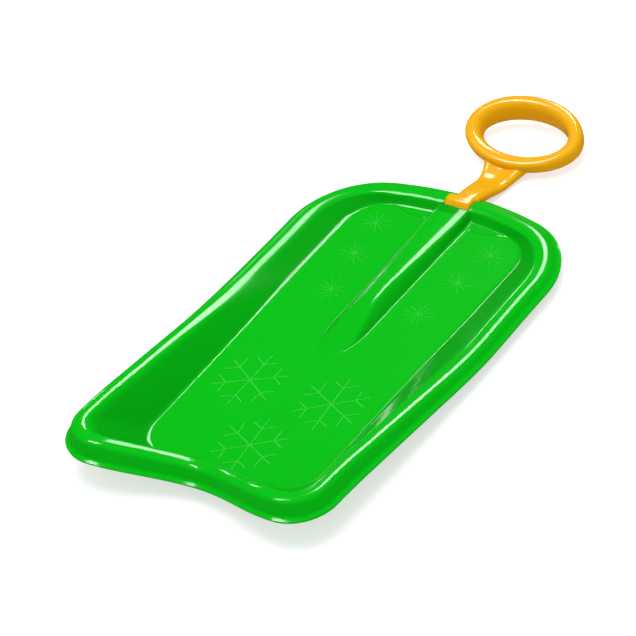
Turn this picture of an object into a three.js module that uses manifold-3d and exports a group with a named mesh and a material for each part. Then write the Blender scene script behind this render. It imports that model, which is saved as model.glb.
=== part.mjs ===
// Children's snow sled: a moulded tray with a rolled rim, and a ring handle hinged at its nose.
// Millimetres, +Z up, +Y towards the handle. The origin is on the ground, under the middle of
// the whole object's box. Inside this file the tray's own middle is at Y 0 until the last lines.
import * as THREE from 'three';
import { mergeVertices } from 'three/addons/utils/BufferGeometryUtils.js';
import Module from 'manifold-3d';

const wasm = await Module();
wasm.setup();

// Tray, outer outline at the lip
const trayHalfWidth = 189;
const trayFront = 296;
const trayRear = 293;
const rearDip = 29;
const lipFrontCorner = 106;
const lipRearCorner = 55;
const lipFrontBow = 460;
const rimTaper = 3.5;
const taperStart = 30;

// Tray, rolled rim: its width from the crest's inner edge to the lip, and its parts
const rimBand = 29;
const crestTop = 18;
const crestFall = 1.4;
const skirtRun = 5;
const lipDrop = 1.5;

// Tray, floor outline at the foot of the walls
const floorHalfWidth = 122;
const floorFront = 257;
const floorRear = 223;
const floorFrontCorner = 45;
const floorRearCorner = 42;
const floorFrontBow = 650;

// Tray, heights above the floor's top face
const crestHeight = 11.5;
const earHeight = 48.5;
const rearHeight = 27;
const lipLow = 0.8;
const lipEar = 27;
const lipRear = 8.5;
const riseStart = 43;
const riseLength = 265;
const riseBlendShare = 0.17;

// Tray, wall and rounding
const wall = 3;
const footRadius = 7;
const crownRadius = 38;
const crestInnerRadius = 16;
const crestOuterRadius = 9;
const lipRadius = 8;
const floorInset = 6;

// Runners under the floor
const runnerHeight = 15;
const runnerPlace = 74;
const runnerWidth = 9;
const runnerFoot = 6;
const runnerFront = 215;
const runnerRear = 200;
const runnerRamp = 38;
const runnerRampShare = 0.8;

// Ridge along the middle of the floor
const ridgeHeight = 12;
const ridgeHalfFoot = 25;
const ridgeHalfTop = 22.5;
const ridgeNose = 11;
const ridgeFull = 110;
const ridgeTopSlopeShare = 0.086;
const ridgeNoseLength = 60;
const ridgeRound = 3.2;
const ridgeCrowdShare = 1.3;

// Hinge: the notch in the front rim, its cheeks and the pin
const knuckleRadius = 11;
const knuckleHalfWidth = 17.7;
const hingeGap = 0.4;
const cheekThickness = 4;
const hingeHeight = 4.5;
const notchWall = 3;
const pinRadius = 2.5;
const pinGap = 0.3;
const pinHeadRadius = 3.2;
const pinHeadThickness = 2;
const retainerThickness = 2.4;
const pinTail = 1;

// Handle: an oval ring whose far side is taller and whose walls lean outwards, at rest nearly level
const ringHalfWidth = 68.5;
const ringHalfLength = 42.5;
const ringRadialHalf = 9.4;
const ringAxialHalf = 12;
const ringGrowShare = 0.25;
const ringLean = 1.8;
const ringReach = 135.3;
const ringHeight = 4.4;
const ringPitchTurn = 8.8 / 360;
const ringRoundShare = 0.72;

// Handle: the stem at places along it, from the hinge's axis to the ring's near side: its middle
// below the axis, its half thickness and half width, and how far its top is hollowed
const stemPlaceShares = [0, 0.28, 0.46, 0.62, 0.75, 0.87, 1];
const stemDrops = [0, 5.2, 10, 14.3, 14.4, 12.2, 8.5];
const stemHalfThicks = [6.8, 7.6, 7.6, 7.1, 7, 8.7, 9.5];
const stemHalfWidths = [15.4, 16.2, 17.6, 19.6, 22, 25.5, 31.5];
const stemDishes = [0, 0, 0.5, 2, 4, 6, 7.5];

// Steps of curved faces, and one overrun for every cut
const rearSteps = 8;
const rearCornerSteps = 7;
const sideSteps = 10;
const frontCornerSteps = 8;
const frontSteps = 7;
const filletSteps = 3;
const ridgeSteps = 22;
const ringSteps = 48;
const ringSectionSteps = 14;
const stemSteps = 14;
const stemSectionSteps = 20;
const knuckleSteps = 32;
const pinSteps = 24;
const overrun = 5;

// Places that follow from the sizes
const floorTop = runnerHeight + wall;
const notchHalfWidth = knuckleHalfWidth + hingeGap;
const notchRear = trayFront - rimBand - wall;
const hingeY = notchRear + hingeGap + knuckleRadius;
const hingeZ = floorTop + hingeHeight;
const ringPitch = ringPitchTurn * 2 * Math.PI;
const ringY = hingeY + ringReach;
const ringZ = floorTop + ringHeight;
const boreHalfLength = trayHalfWidth / 4;

// Colours of the two plastics and of the pin
const trayPlastic = { color: 0x08c418, roughness: 0.22, metalness: 0 };
const handlePlastic = { color: 0xfdb80f, roughness: 0.3, metalness: 0 };
const pinSteel = { color: 0xb8bcc0, roughness: 0.35, metalness: 1 };

function mix(a, b, share) {
  return a + (b - a) * share;
}

// A ramp from 0 to 1 whose two ends are rounded into the level stretches
function softRamp(u, blend) {
  const rise = (v) => (v < -blend ? 0 : v > blend ? v : (v + blend) ** 2 / (4 * blend));
  return rise(u) - rise(u - 1);
}

// Half of a tray outline from the rear middle to the front middle, as plan points
function halfOutline(o) {
  const points = [];
  const rearRun = o.halfWidth - o.rearCorner;
  for (let i = 0; i < rearSteps; i += 1) {
    const x = rearRun * i / rearSteps;
    const back = o.rear - o.dip * (1 + Math.cos(Math.PI * x / rearRun)) / 2;
    points.push({ x, y: -back, part: 'rear', share: i / rearSteps });
  }
  for (let i = 0; i < rearCornerSteps; i += 1) {
    const turn = Math.PI / 2 * i / rearCornerSteps;
    points.push({
      x: rearRun + o.rearCorner * Math.sin(turn),
      y: -o.rear + o.rearCorner * (1 - Math.cos(turn)),
      part: 'side',
    });
  }
  const cornerX = o.halfWidth - o.taper - o.frontCorner;
  const bowY = o.front - o.frontBow;
  const cornerY = bowY + Math.sqrt((o.frontBow - o.frontCorner) ** 2 - cornerX ** 2);
  const sideStart = -o.rear + o.rearCorner;
  for (let i = 0; i < sideSteps; i += 1) {
    const y = mix(sideStart, cornerY, i / sideSteps);
    const narrowing = THREE.MathUtils.smoothstep(y, taperStart, cornerY);
    points.push({ x: o.halfWidth - o.taper * narrowing, y, part: 'side' });
  }
  const endTurn = Math.atan2(cornerY - bowY, cornerX);
  for (let i = 0; i < frontCornerSteps; i += 1) {
    const turn = endTurn * i / frontCornerSteps;
    points.push({
      x: cornerX + o.frontCorner * Math.cos(turn),
      y: cornerY + o.frontCorner * Math.sin(turn),
      part: 'side',
    });
  }
  for (let i = 0; i <= frontSteps; i += 1) {
    const turn = mix(endTurn, Math.PI / 2, i / frontSteps);
    points.push({
      x: o.frontBow * Math.cos(turn) * (i < frontSteps ? 1 : 0),
      y: bowY + o.frontBow * Math.sin(turn),
      part: 'side',
    });
  }
  return points;
}

// The closed outline: the right half, then the left half back to the rear middle
function outline(o) {
  const right = halfOutline(o);
  const left = right.slice(1, -1).reverse().map((p) => ({ ...p, x: -p.x }));
  return right.concat(left);
}

const lipOutline = outline({
  halfWidth: trayHalfWidth, front: trayFront, rear: trayRear, dip: rearDip, taper: rimTaper,
  frontCorner: lipFrontCorner, rearCorner: lipRearCorner, frontBow: lipFrontBow,
});
const crestOutline = outline({
  halfWidth: trayHalfWidth - rimBand,
  front: trayFront - rimBand,
  rear: trayRear - rimBand,
  dip: rearDip,
  taper: rimTaper,
  frontCorner: lipFrontCorner - rimBand,
  rearCorner: lipRearCorner - rimBand,
  frontBow: lipFrontBow - rimBand,
});
const floorOutline = outline({
  halfWidth: floorHalfWidth, front: floorFront, rear: floorRear, dip: 0, taper: 0,
  frontCorner: floorFrontCorner, rearCorner: floorRearCorner, frontBow: floorFrontBow,
});

// Crest and lip heights at one station of the rim
function rimHeights(crestPoint) {
  const share = softRamp((riseStart - crestPoint.y) / riseLength, riseBlendShare);
  let crest = mix(crestHeight, earHeight, share);
  let lip = mix(lipLow, lipEar, share);
  if (crestPoint.part === 'rear') {
    const towardsEar = (1 - Math.cos(Math.PI * crestPoint.share)) / 2;
    crest = mix(rearHeight, crest, towardsEar);
    lip = mix(lipRear, lip, towardsEar);
  }
  return { crest, lip };
}

// A run of straight lines with its inner corners rounded; each corner is [across, up, radius]
function roundedPath(corners) {
  const path = [new THREE.Vector2(corners[0][0], corners[0][1])];
  for (let i = 1; i < corners.length - 1; i += 1) {
    const here = new THREE.Vector2(corners[i][0], corners[i][1]);
    const before = new THREE.Vector2(corners[i - 1][0], corners[i - 1][1]).sub(here);
    const after = new THREE.Vector2(corners[i + 1][0], corners[i + 1][1]).sub(here);
    const half = before.angleTo(after) / 2;
    const reach = Math.min(corners[i][2] / Math.tan(half), before.length() / 2, after.length() / 2);
    const start = here.clone().add(before.clone().setLength(reach));
    const end = here.clone().add(after.clone().setLength(reach));
    const centre = start.clone().add(end).multiplyScalar(1 / 2).sub(here);
    centre.setLength(reach / Math.cos(half)).add(here);
    const radius = reach * Math.tan(half);
    const from = start.clone().sub(centre).angle();
    let sweep = end.clone().sub(centre).angle() - from;
    if (sweep > Math.PI) sweep -= 2 * Math.PI;
    if (sweep < -Math.PI) sweep += 2 * Math.PI;
    for (let k = 0; k <= filletSteps; k += 1) {
      const turn = from + sweep * k / filletSteps;
      path.push(new THREE.Vector2(Math.cos(turn), Math.sin(turn)).multiplyScalar(radius).add(centre));
    }
  }
  const last = corners[corners.length - 1];
  path.push(new THREE.Vector2(last[0], last[1]));
  return path;
}

// The same path moved down and inwards by the wall thickness
function innerPath(path, thickness) {
  return path.map((point, i) => {
    const along = new THREE.Vector2();
    if (i > 0) along.add(point.clone().sub(path[i - 1]).normalize());
    if (i < path.length - 1) along.add(path[i + 1].clone().sub(point).normalize());
    along.normalize();
    return new THREE.Vector2(point.x + along.y * thickness, point.y - along.x * thickness);
  });
}

// The rim's top face in section: across from the foot of the wall, and up from the floor's top
function rimPath(wallRun, crest, lip) {
  return roundedPath([
    [-floorInset, 0, 0],
    [0, 0, footRadius],
    [wallRun, crest - crestFall, crestInnerRadius],
    [wallRun + crestTop / 2, crest, crownRadius],
    [wallRun + crestTop, crest - crestFall, crestOuterRadius],
    [wallRun + crestTop + skirtRun, lip + lipDrop, lipRadius],
    [wallRun + rimBand, lip, 0],
  ]);
}

function toSolid(geometry) {
  const bare = geometry.index ? geometry.toNonIndexed() : geometry.clone();
  bare.deleteAttribute('normal');
  bare.deleteAttribute('uv');
  const merged = mergeVertices(bare);
  return new wasm.Manifold(new wasm.Mesh({
    numProp: 3,
    vertProperties: merged.attributes.position.array,
    triVerts: new Uint32Array(merged.index.array),
  }));
}

function toGeometry(solid) {
  const mesh = solid.getMesh();
  const geometry = new THREE.BufferGeometry();
  geometry.setAttribute('position', new THREE.BufferAttribute(mesh.vertProperties, 3));
  geometry.setIndex(new THREE.BufferAttribute(mesh.triVerts, 1));
  geometry.computeVertexNormals();
  return geometry;
}

// A solid lofted through rings of equal point counts; closed means that it runs round to its start
function loft(rings, closed) {
  const count = rings[0].length;
  const positions = rings.flat().flatMap((p) => [p.x, p.y, p.z]);
  const index = [];
  const spans = closed ? rings.length : rings.length - 1;
  for (let i = 0; i < spans; i += 1) {
    const a = i * count;
    const b = ((i + 1) % rings.length) * count;
    for (let j = 0; j < count; j += 1) {
      const k = (j + 1) % count;
      index.push(a + j, b + j, b + k, a + j, b + k, a + k);
    }
  }
  if (!closed) {
    const end = (rings.length - 1) * count;
    for (let j = 1; j < count - 1; j += 1) {
      index.push(0, j, j + 1);
      index.push(end, end + j + 1, end + j);
    }
  }
  return outward(positions, index);
}

// A closed mesh whose faces are turned outwards if its volume comes out negative
function outward(positions, index) {
  let volume = 0;
  const at = (i) => new THREE.Vector3(positions[3 * i], positions[3 * i + 1], positions[3 * i + 2]);
  for (let i = 0; i < index.length; i += 3) {
    volume += at(index[i]).dot(at(index[i + 1]).cross(at(index[i + 2])));
  }
  const turned = volume < 0 ? index.slice().reverse() : index;
  const geometry = new THREE.BufferGeometry();
  geometry.setAttribute('position', new THREE.Float32BufferAttribute(positions, 3));
  geometry.setIndex(turned);
  return geometry;
}

// Floor, walls and rolled rim as one thin shell
function trayShell() {
  const positions = [];
  const index = [];
  let count = 0;
  floorOutline.forEach((foot, i) => {
    const crestPoint = crestOutline[i];
    const lipPoint = lipOutline[i];
    const wallRun = Math.hypot(crestPoint.x - foot.x, crestPoint.y - foot.y);
    const { crest, lip } = rimHeights(crestPoint);
    const top = rimPath(wallRun, crest, lip);
    const under = innerPath(top, wall);
    const section = top.concat(under.slice().reverse());
    count = section.length;
    section.forEach((p) => {
      const onWall = p.x <= wallRun;
      const share = onWall ? p.x / wallRun : (p.x - wallRun) / rimBand;
      const from = onWall ? foot : crestPoint;
      const to = onWall ? crestPoint : lipPoint;
      positions.push(mix(from.x, to.x, share), mix(from.y, to.y, share), floorTop + p.y);
    });
  });
  const stations = floorOutline.length;
  for (let i = 0; i < stations; i += 1) {
    const a = i * count;
    const b = ((i + 1) % stations) * count;
    for (let j = 0; j < count - 1; j += 1) {
      index.push(a + j, b + j, b + j + 1, a + j, b + j + 1, a + j + 1);
    }
  }
  const ringOf = (j) => floorOutline.map((unused, i) => i * count + j);
  [[0, 1], [count - 1, -1]].forEach(([j, way]) => {
    const ring = ringOf(j);
    const flat = ring.map((v) => new THREE.Vector2(positions[3 * v], positions[3 * v + 1]));
    THREE.ShapeUtils.triangulateShape(flat, []).forEach(([p, q, r]) => {
      index.push(ring[p], ring[way > 0 ? r : q], ring[way > 0 ? q : r]);
    });
  });
  return toSolid(outward(positions, index));
}

// The ridge's size at one place along the tray: half widths at foot and top, and height
function ridgeSize(y, inset) {
  const noseShare = THREE.MathUtils.clamp((y + ridgeNose) / ridgeNoseLength, 0, 1);
  const riseShare = THREE.MathUtils.clamp((y + ridgeNose) / (ridgeFull + ridgeNose), 0, 1);
  const foot = ridgeHalfFoot * Math.sqrt(1 - (1 - noseShare) ** 2);
  const height = ridgeHeight * Math.sin(riseShare * Math.PI / 2) ** 2;
  const fullTop = ridgeHalfTop - (notchRear - y) * ridgeTopSlopeShare;
  const top = Math.max(Math.min(fullTop, foot - height / ridgeRound), foot * (1 - riseShare) / 2);
  return { foot: foot - inset, top: Math.max(top - inset / 2, inset / 4), height: height - inset };
}

function ridgeRing(y, inset, base) {
  const { foot, top, height } = ridgeSize(y, inset);
  const round = Math.min(ridgeRound, top / 2, height / 2);
  const side = roundedPath([
    [foot, -base, 0],
    [foot, 0, 0],
    [top, height, round],
    [0, height, 0],
  ]);
  const left = side.slice(0, -1).reverse().map((p) => new THREE.Vector2(-p.x, p.y));
  return side.concat(left).map((p) => new THREE.Vector3(p.x, y, floorTop + p.y));
}

function ridgeSolid(inset, base, front) {
  const rings = [];
  const start = -ridgeNose + (inset > 0 ? ridgeNoseLength / 2 : ridgeRound / 2);
  for (let i = 0; i <= ridgeSteps; i += 1) {
    rings.push(ridgeRing(mix(start, front, (i / ridgeSteps) ** ridgeCrowdShare), inset, base));
  }
  return toSolid(loft(rings, false));
}

// A box between two corners
function block(x0, x1, y0, y1, z0, z1) {
  const box = new THREE.BoxGeometry(x1 - x0, y1 - y0, z1 - z0);
  box.translate((x0 + x1) / 2, (y0 + y1) / 2, (z0 + z1) / 2);
  return toSolid(box);
}

// A round bar across the tray, between two places on X
function crossBar(radius, x0, x1, y, z, steps) {
  const bar = new THREE.CylinderGeometry(radius, radius, x1 - x0, steps);
  bar.rotateZ(-Math.PI / 2);
  bar.translate((x0 + x1) / 2, y, z);
  return toSolid(bar);
}

// One cheek of the hinge: the rim's section filled in, beside the notch
function cheek(side) {
  const middle = notchHalfWidth + cheekThickness / 2;
  const sag = lipFrontBow - Math.sqrt(lipFrontBow ** 2 - middle ** 2);
  const wallRun = trayFront - rimBand - floorFront;
  const path = rimPath(wallRun, crestHeight, lipLow);
  const shape = new THREE.Shape();
  path.forEach((p, i) => {
    const y = floorFront + p.x - sag;
    if (i === 0) shape.moveTo(y, floorTop + p.y);
    else shape.lineTo(y, floorTop + p.y);
  });
  const last = path[path.length - 1];
  shape.lineTo(floorFront + last.x - sag, floorTop + last.y - wall);
  shape.lineTo(hingeY + knuckleRadius / 2, floorTop - wall);
  shape.lineTo(floorFront - floorInset - sag, floorTop - wall);
  const plate = new THREE.ExtrudeGeometry(shape, { depth: cheekThickness, bevelEnabled: false });
  plate.rotateY(Math.PI / 2);
  plate.rotateX(Math.PI / 2);
  plate.translate(side > 0 ? notchHalfWidth : -notchHalfWidth - cheekThickness, 0, 0);
  return toSolid(plate);
}

// One runner under the floor: a straight fin whose ends rise like a ski
function runner(side) {
  const length = runnerFront + runnerRear;
  const rings = [];
  const stations = [
    [0, 0], [runnerRamp / 2 / length, runnerRampShare], [runnerRamp / length, 1],
    [1 - runnerRamp / length, 1], [1 - runnerRamp / 2 / length, runnerRampShare], [1, 0],
  ];
  stations.forEach(([share, depthShare]) => {
    const y = mix(-runnerRear, runnerFront, share);
    const bottom = floorTop - wall - runnerHeight * depthShare;
    const top = floorTop - wall / 2;
    const wide = runnerWidth / 2;
    const narrow = mix(runnerWidth, runnerFoot, depthShare) / 2;
    rings.push([[-wide, top], [wide, top], [narrow, bottom], [-narrow, bottom]]
      .map(([x, z]) => new THREE.Vector3(side * runnerPlace + x, y, z)));
  });
  return toSolid(loft(rings, false));
}

function sledShell() {
  let solid = trayShell();
  solid = solid.add(ridgeSolid(0, wall / 2, notchRear));
  solid = solid.subtract(ridgeSolid(wall, wall + overrun, notchRear - notchWall));
  solid = solid.subtract(block(
    -notchHalfWidth, notchHalfWidth,
    notchRear, trayFront + overrun,
    floorTop - wall - overrun, floorTop + earHeight,
  ));
  [1, -1].forEach((side) => {
    solid = solid.add(cheek(side)).add(runner(side));
  });
  const bore = pinRadius + pinGap;
  return solid.subtract(crossBar(bore, -boreHalfLength, boreHalfLength, hingeY, hingeZ, pinSteps));
}

// A rounded oblong section; dish hollows the middle of its upper side
function oblong(halfAcross, halfUp, steps, dish) {
  const ring = [];
  for (let i = 0; i < steps; i += 1) {
    const turn = 2 * Math.PI * i / steps;
    const c = Math.cos(turn);
    const s = Math.sin(turn);
    const across = Math.sign(c) * Math.abs(c) ** ringRoundShare * halfAcross;
    let up = Math.sign(s) * Math.abs(s) ** ringRoundShare * halfUp;
    if (s > 0) up -= dish * (1 - (across / halfAcross) ** 2) * s;
    ring.push([across, up]);
  }
  return ring;
}

// The oval ring, its section upright to the ring's own plane
function handleRing() {
  const rings = [];
  for (let i = 0; i < ringSteps; i += 1) {
    const turn = 2 * Math.PI * i / ringSteps;
    const outX = Math.cos(turn) / ringHalfWidth;
    const outY = Math.sin(turn) / ringHalfLength;
    const size = Math.hypot(outX, outY);
    const axialHalf = ringAxialHalf * (1 + ringGrowShare * Math.sin(turn));
    rings.push(oblong(ringRadialHalf, axialHalf, ringSectionSteps, 0).map(([straight, up]) => {
      const across = straight + ringLean * up / axialHalf;
      const x = ringHalfWidth * Math.cos(turn) + across * outX / size;
      const along = ringHalfLength * Math.sin(turn) + across * outY / size;
      return new THREE.Vector3(
        x,
        ringY + along * Math.cos(ringPitch) - up * Math.sin(ringPitch),
        ringZ + along * Math.sin(ringPitch) + up * Math.cos(ringPitch),
      );
    }));
  }
  return toSolid(loft(rings, true));
}

// A value between those given at the stem's places, without kinks
function alongStem(values, share) {
  const last = stemPlaceShares.length - 1;
  let i = 0;
  while (i < last - 1 && share > stemPlaceShares[i + 1]) i += 1;
  const slopeAt = (k) => {
    const before = Math.max(k - 1, 0);
    const after = Math.min(k + 1, last);
    return (values[after] - values[before]) / (stemPlaceShares[after] - stemPlaceShares[before]);
  };
  const span = stemPlaceShares[i + 1] - stemPlaceShares[i];
  const t = (share - stemPlaceShares[i]) / span;
  const back = 1 - t;
  return values[i] * back ** 2 * (1 + 2 * t) + values[i + 1] * t ** 2 * (1 + 2 * back)
    + span * (slopeAt(i) * t * back ** 2 - slopeAt(i + 1) * t ** 2 * back);
}

// The stem, from inside the knuckle to inside the near side of the ring
function handleStem() {
  const endY = ringY - ringHalfLength * Math.cos(ringPitch);
  const rings = [];
  for (let i = 0; i <= stemSteps; i += 1) {
    const share = i / stemSteps;
    const y = mix(hingeY, endY, share);
    const z = hingeZ - alongStem(stemDrops, share);
    rings.push(oblong(
      alongStem(stemHalfWidths, share),
      alongStem(stemHalfThicks, share),
      stemSectionSteps,
      alongStem(stemDishes, share),
    ).map(([across, up]) => new THREE.Vector3(across, y, z + up)));
  }
  return toSolid(loft(rings, false));
}

function pullHandle() {
  const knuckle = crossBar(knuckleRadius, -knuckleHalfWidth, knuckleHalfWidth, hingeY, hingeZ, knuckleSteps);
  const bore = crossBar(pinRadius + pinGap, -notchHalfWidth, notchHalfWidth, hingeY, hingeZ, pinSteps);
  return handleRing().add(handleStem()).add(knuckle).subtract(bore);
}

const cheekOuter = notchHalfWidth + cheekThickness;
const retainerStart = cheekOuter + pinGap;

function hingePin() {
  const headStart = -cheekOuter - pinGap;
  const shaft = crossBar(pinRadius, headStart, retainerStart + retainerThickness + pinTail, hingeY, hingeZ, pinSteps);
  return shaft.add(crossBar(pinHeadRadius, headStart - pinHeadThickness, headStart, hingeY, hingeZ, pinSteps));
}

function pinRetainer() {
  const end = retainerStart + retainerThickness;
  const cap = crossBar(pinHeadRadius, retainerStart, end, hingeY, hingeZ, pinSteps);
  return cap.subtract(crossBar(pinRadius + pinGap, retainerStart - overrun, end + overrun, hingeY, hingeZ, pinSteps));
}

function piece(name, solid, finish) {
  const mesh = new THREE.Mesh(toGeometry(solid), new THREE.MeshStandardMaterial(finish));
  mesh.name = name;
  return mesh;
}

const sled = new THREE.Group();
sled.add(piece('sled_shell', sledShell(), trayPlastic));
sled.add(piece('pull_handle', pullHandle(), handlePlastic));
sled.add(piece('hinge_pin', hingePin(), pinSteel));
sled.add(piece('pin_retainer', pinRetainer(), pinSteel));
const box = new THREE.Box3().setFromObject(sled);
sled.position.y = -(box.min.y + box.max.y) / 2;

export default sled;
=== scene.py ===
"""Looks of the children's snow sled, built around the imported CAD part.

The tray is one moulded green shell: a flat floor with raised snowflakes, sloping walls, a rolled
rim, and a middle ridge that runs into the hinge pocket at the nose. The yellow ring handle turns
on a steel pin in that pocket. Lengths are in millimetres until a mesh is made, then in metres. The
lamps' and the snowflakes' sizes are in metres from the start.
"""
import math
import bpy
import bmesh
import numpy as np
from mathutils import Matrix, Vector


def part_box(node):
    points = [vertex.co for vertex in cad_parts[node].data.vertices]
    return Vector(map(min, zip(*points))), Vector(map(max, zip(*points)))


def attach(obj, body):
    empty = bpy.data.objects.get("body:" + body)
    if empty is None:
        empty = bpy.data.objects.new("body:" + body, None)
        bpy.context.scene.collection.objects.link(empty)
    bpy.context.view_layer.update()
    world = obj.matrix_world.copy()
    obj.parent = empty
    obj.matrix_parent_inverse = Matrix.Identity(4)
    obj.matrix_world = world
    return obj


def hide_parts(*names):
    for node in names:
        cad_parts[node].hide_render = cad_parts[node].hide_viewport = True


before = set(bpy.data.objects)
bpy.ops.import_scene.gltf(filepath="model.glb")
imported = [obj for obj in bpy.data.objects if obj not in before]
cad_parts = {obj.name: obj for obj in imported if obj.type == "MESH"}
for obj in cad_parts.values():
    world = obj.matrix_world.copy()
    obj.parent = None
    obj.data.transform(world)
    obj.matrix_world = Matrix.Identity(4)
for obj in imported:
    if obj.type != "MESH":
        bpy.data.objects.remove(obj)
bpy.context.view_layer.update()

MM = 0.001
TINY = 1e-6
IMAGE_SIDE = 636

# Tray, outer outline at the lip
TRAY_HALF_WIDTH = 189.0
TRAY_FRONT = 296.0
TRAY_REAR = 293.0
REAR_DIP = 29.0
LIP_FRONT_CORNER = 106.0
LIP_REAR_CORNER = 55.0
LIP_FRONT_BOW = 460.0
RIM_TAPER = 3.5
TAPER_START = 30.0

# Tray, rolled rim: its width from the crest's inner edge to the lip, and its parts
RIM_BAND = 29.0
CREST_TOP = 18.0
CREST_FALL = 1.4
SKIRT_RUN = 5.0
LIP_DROP = 1.5

# Tray, floor outline at the foot of the walls, and the flat strip just inside it
FLOOR_HALF_WIDTH = 122.0
FLOOR_FRONT = 257.0
FLOOR_REAR = 223.0
FLOOR_FRONT_CORNER = 45.0
FLOOR_REAR_CORNER = 42.0
FLOOR_FRONT_BOW = 650.0
FLOOR_INSET = 12.0

# Tray, heights above the floor's top face
CREST_HEIGHT = 11.5
EAR_HEIGHT = 48.43
REAR_HEIGHT = 27.0
LIP_LOW = 0.8
LIP_EAR = 27.0
LIP_REAR_HEIGHT = 8.5
RISE_START = 43.0
RISE_LENGTH = 265.0
RISE_BLEND = 0.17

# Tray, wall thickness and rounding; a reach is how far a rounding runs along each of its lines
WALL = 3.0
FOOT_REACH = 5.5
CROWN_RADIUS = 38.0
CREST_INNER_REACH = 4.2
CREST_OUTER_RADIUS = 9.0
LIP_RADIUS = 8.0

# Most of a straight line that the rounding at each of its ends may take
MOST_ROUNDED = 0.47

# Runners under the floor
RUNNER_HEIGHT = 15.0
RUNNER_PLACE = 74.0
RUNNER_WIDTH = 9.0
RUNNER_FOOT = 6.0
RUNNER_CORNER = 1.5
RUNNER_LEAST_CORNER = 0.001
RUNNER_FRONT = 215.0
RUNNER_REAR = 200.0
RUNNER_RAMP = 38.0

# Ridge along the middle of the floor
RIDGE_HEIGHT = 12.0
RIDGE_HALF_FOOT = 25.0
RIDGE_HALF_TOP = 22.5
RIDGE_NOSE = 11.0
RIDGE_FULL = 110.0
RIDGE_TOP_SLOPE = 0.086
RIDGE_NOSE_LENGTH = 60.0
RIDGE_ROUND = 3.2
RIDGE_FOOT_ROUND = 5.0
RIDGE_DOME_START = 6.5
RIDGE_DOME_RADIUS = 80.0
RIDGE_DOME_LEAST = 1.6
RIDGE_LEAST_SIDE = 0.8
RIDGE_BLEND = 1.6
RIDGE_FOOT_APRON = 9.6
RIDGE_RISE_POWER = 1.5
RIDGE_SIDE_RUN = 1.25

# Hinge: the pocket in the front rim, the handle's knuckle in it, and the pin through both
POCKET_HALF_WIDTH = 18.1
POCKET_ROUND = 0.75
HINGE_HEIGHT = 4.5
HINGE_GAP = 0.4
KNUCKLE_RADIUS = 11.0
KNUCKLE_HALF_WIDTH = 17.7
KNUCKLE_ROUND = 3.2
KNUCKLE_FLATS = 8
KNUCKLE_FLAT_SHARE = 0.955
PIN_RADIUS = 2.5
PIN_GAP = 0.3

# Handle: an oval ring whose far side is taller and whose walls lean outwards
RING_HALF_WIDTH = 68.5
RING_HALF_LENGTH = 42.5
RING_RADIAL_HALF = 9.4
RING_AXIAL_HALF = 12.0
RING_GROW = 0.25
RING_LEAN = 1.8
RING_REACH = 135.25
RING_HEIGHT = 4.4
RING_PITCH = math.radians(8.8)
SECTION_SHARE = 0.72

# Handle: the stem at places along it, from the hinge's axis to the ring's near side: its middle
# below the axis, its half thickness and half width, and how far its top is hollowed
STEM_PLACES = [0, 0.28, 0.46, 0.62, 0.75, 0.87, 1]
STEM_DROPS = [0, 5.2, 10, 14.3, 14.4, 12.2, 8.5]
STEM_HALF_THICKS = [6.8, 7.6, 7.6, 7.1, 7, 8.7, 9.5]
STEM_HALF_WIDTHS = [15.4, 16.2, 17.6, 19.6, 22, 25.5, 31.5]
STEM_DISHES = [0, 0, 0.5, 2, 4, 6, 7.5]

# How finely each shape is divided
FILLET_STEPS = 6
SIDE_COLUMNS = 4
FLOOR_COLUMNS = 12
REAR_CORNER_ROWS = 14
SIDE_ROWS = 116
FRONT_CORNER_ROWS = 16
WALL_PARTS = 6
CREST_PARTS = 2
POCKET_WALL_STEPS = 5
RUNNER_RAMP_STEPS = 8
RING_STEPS = 144
RING_SECTION_STEPS = 48
STEM_STEPS = 40
STEM_SECTION_STEPS = 64
KNUCKLE_STEPS = 96
KNUCKLE_ROUND_STEPS = 4
HANDLE_VOXEL = 0.8
HANDLE_SMOOTHING = 10
SHARP_TURN = math.radians(40)

# Painted shade on the walls: the walls and the ridge's sides are painted a darker green, as shade.
# The shares of a wall's run over which it sets in at the foot and fades at the crest, how much of
# it a steep wall loses because the lamps already shade it, and how many points are worked out at
# once
PAINTED_SHADE_FOOT = (-0.04, 0.06)
PAINTED_SHADE_CREST = (0.78, 1.02)
PAINTED_SHADE_STEEP_CUT = 1.1
PAINTED_SHADE_BATCH = 4000

# Snowflakes on the floor: x, y and turn in degrees of each, and the sizes of both kinds
LARGE_PLACES = [(58.6, -77.0, 36), (-58.6, -77.0, 30), (9.5, -172.0, 36)]
SMALL_PLACES = [(side * x, y, 30) for side in (1, -1)
                for x, y in ((83, 215), (74.5, 159), (63, 95))]
BRANCH_TURN = math.radians(60)
LARGE_SIZES = {"Arm Length": 0.046, "Arms": 6, "Line Width": 0.003, "Line Height": 0.00035,
               "Branch Turn": BRANCH_TURN}
SMALL_SIZES = {"Arm Length": 0.02, "Arms": 12, "Line Width": 0.0013, "Line Height": 0.0002,
               "Branch Turn": BRANCH_TURN}
BEAD_SIDES = 8

# Finishes: how large and strong the plastic's drift and grain are, and the pin's steel
DRIFT_SCALE = 9.0
DRIFT_DETAIL = 2.0
DRIFT_IN_GLOSS = (0.85, 1.2)
GRAIN_SCALE = 700.0
GRAIN_DETAIL = 3.0
GRAIN_STRENGTH = 0.02
GRAIN_HEIGHT = 0.0002
STEEL_COLOUR = (0.62, 0.64, 0.66, 1)
STEEL_ROUGHNESS = (0.25, 0.42)
STEEL_SPECK_SCALE = 900.0

# Camera, fitted to the photograph; AIM_PIXEL is where its 636 by 636 frame shows the place AIM_Y
# on the floor's middle line
CAMERA_ELEVATION = math.radians(38.12)
CAMERA_AZIMUTH = math.radians(44.73)
CAMERA_ROLL = math.radians(-15.0)
CAMERA_DISTANCE = 10526.0
CAMERA_CLIP = (0.1, 100.0)
SENSOR_WIDTH = 36.0
PIXELS_PER_MM = 0.8726
AIM_PIXEL = (290.3, 392.27)
AIM_Y = -77.0

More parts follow.
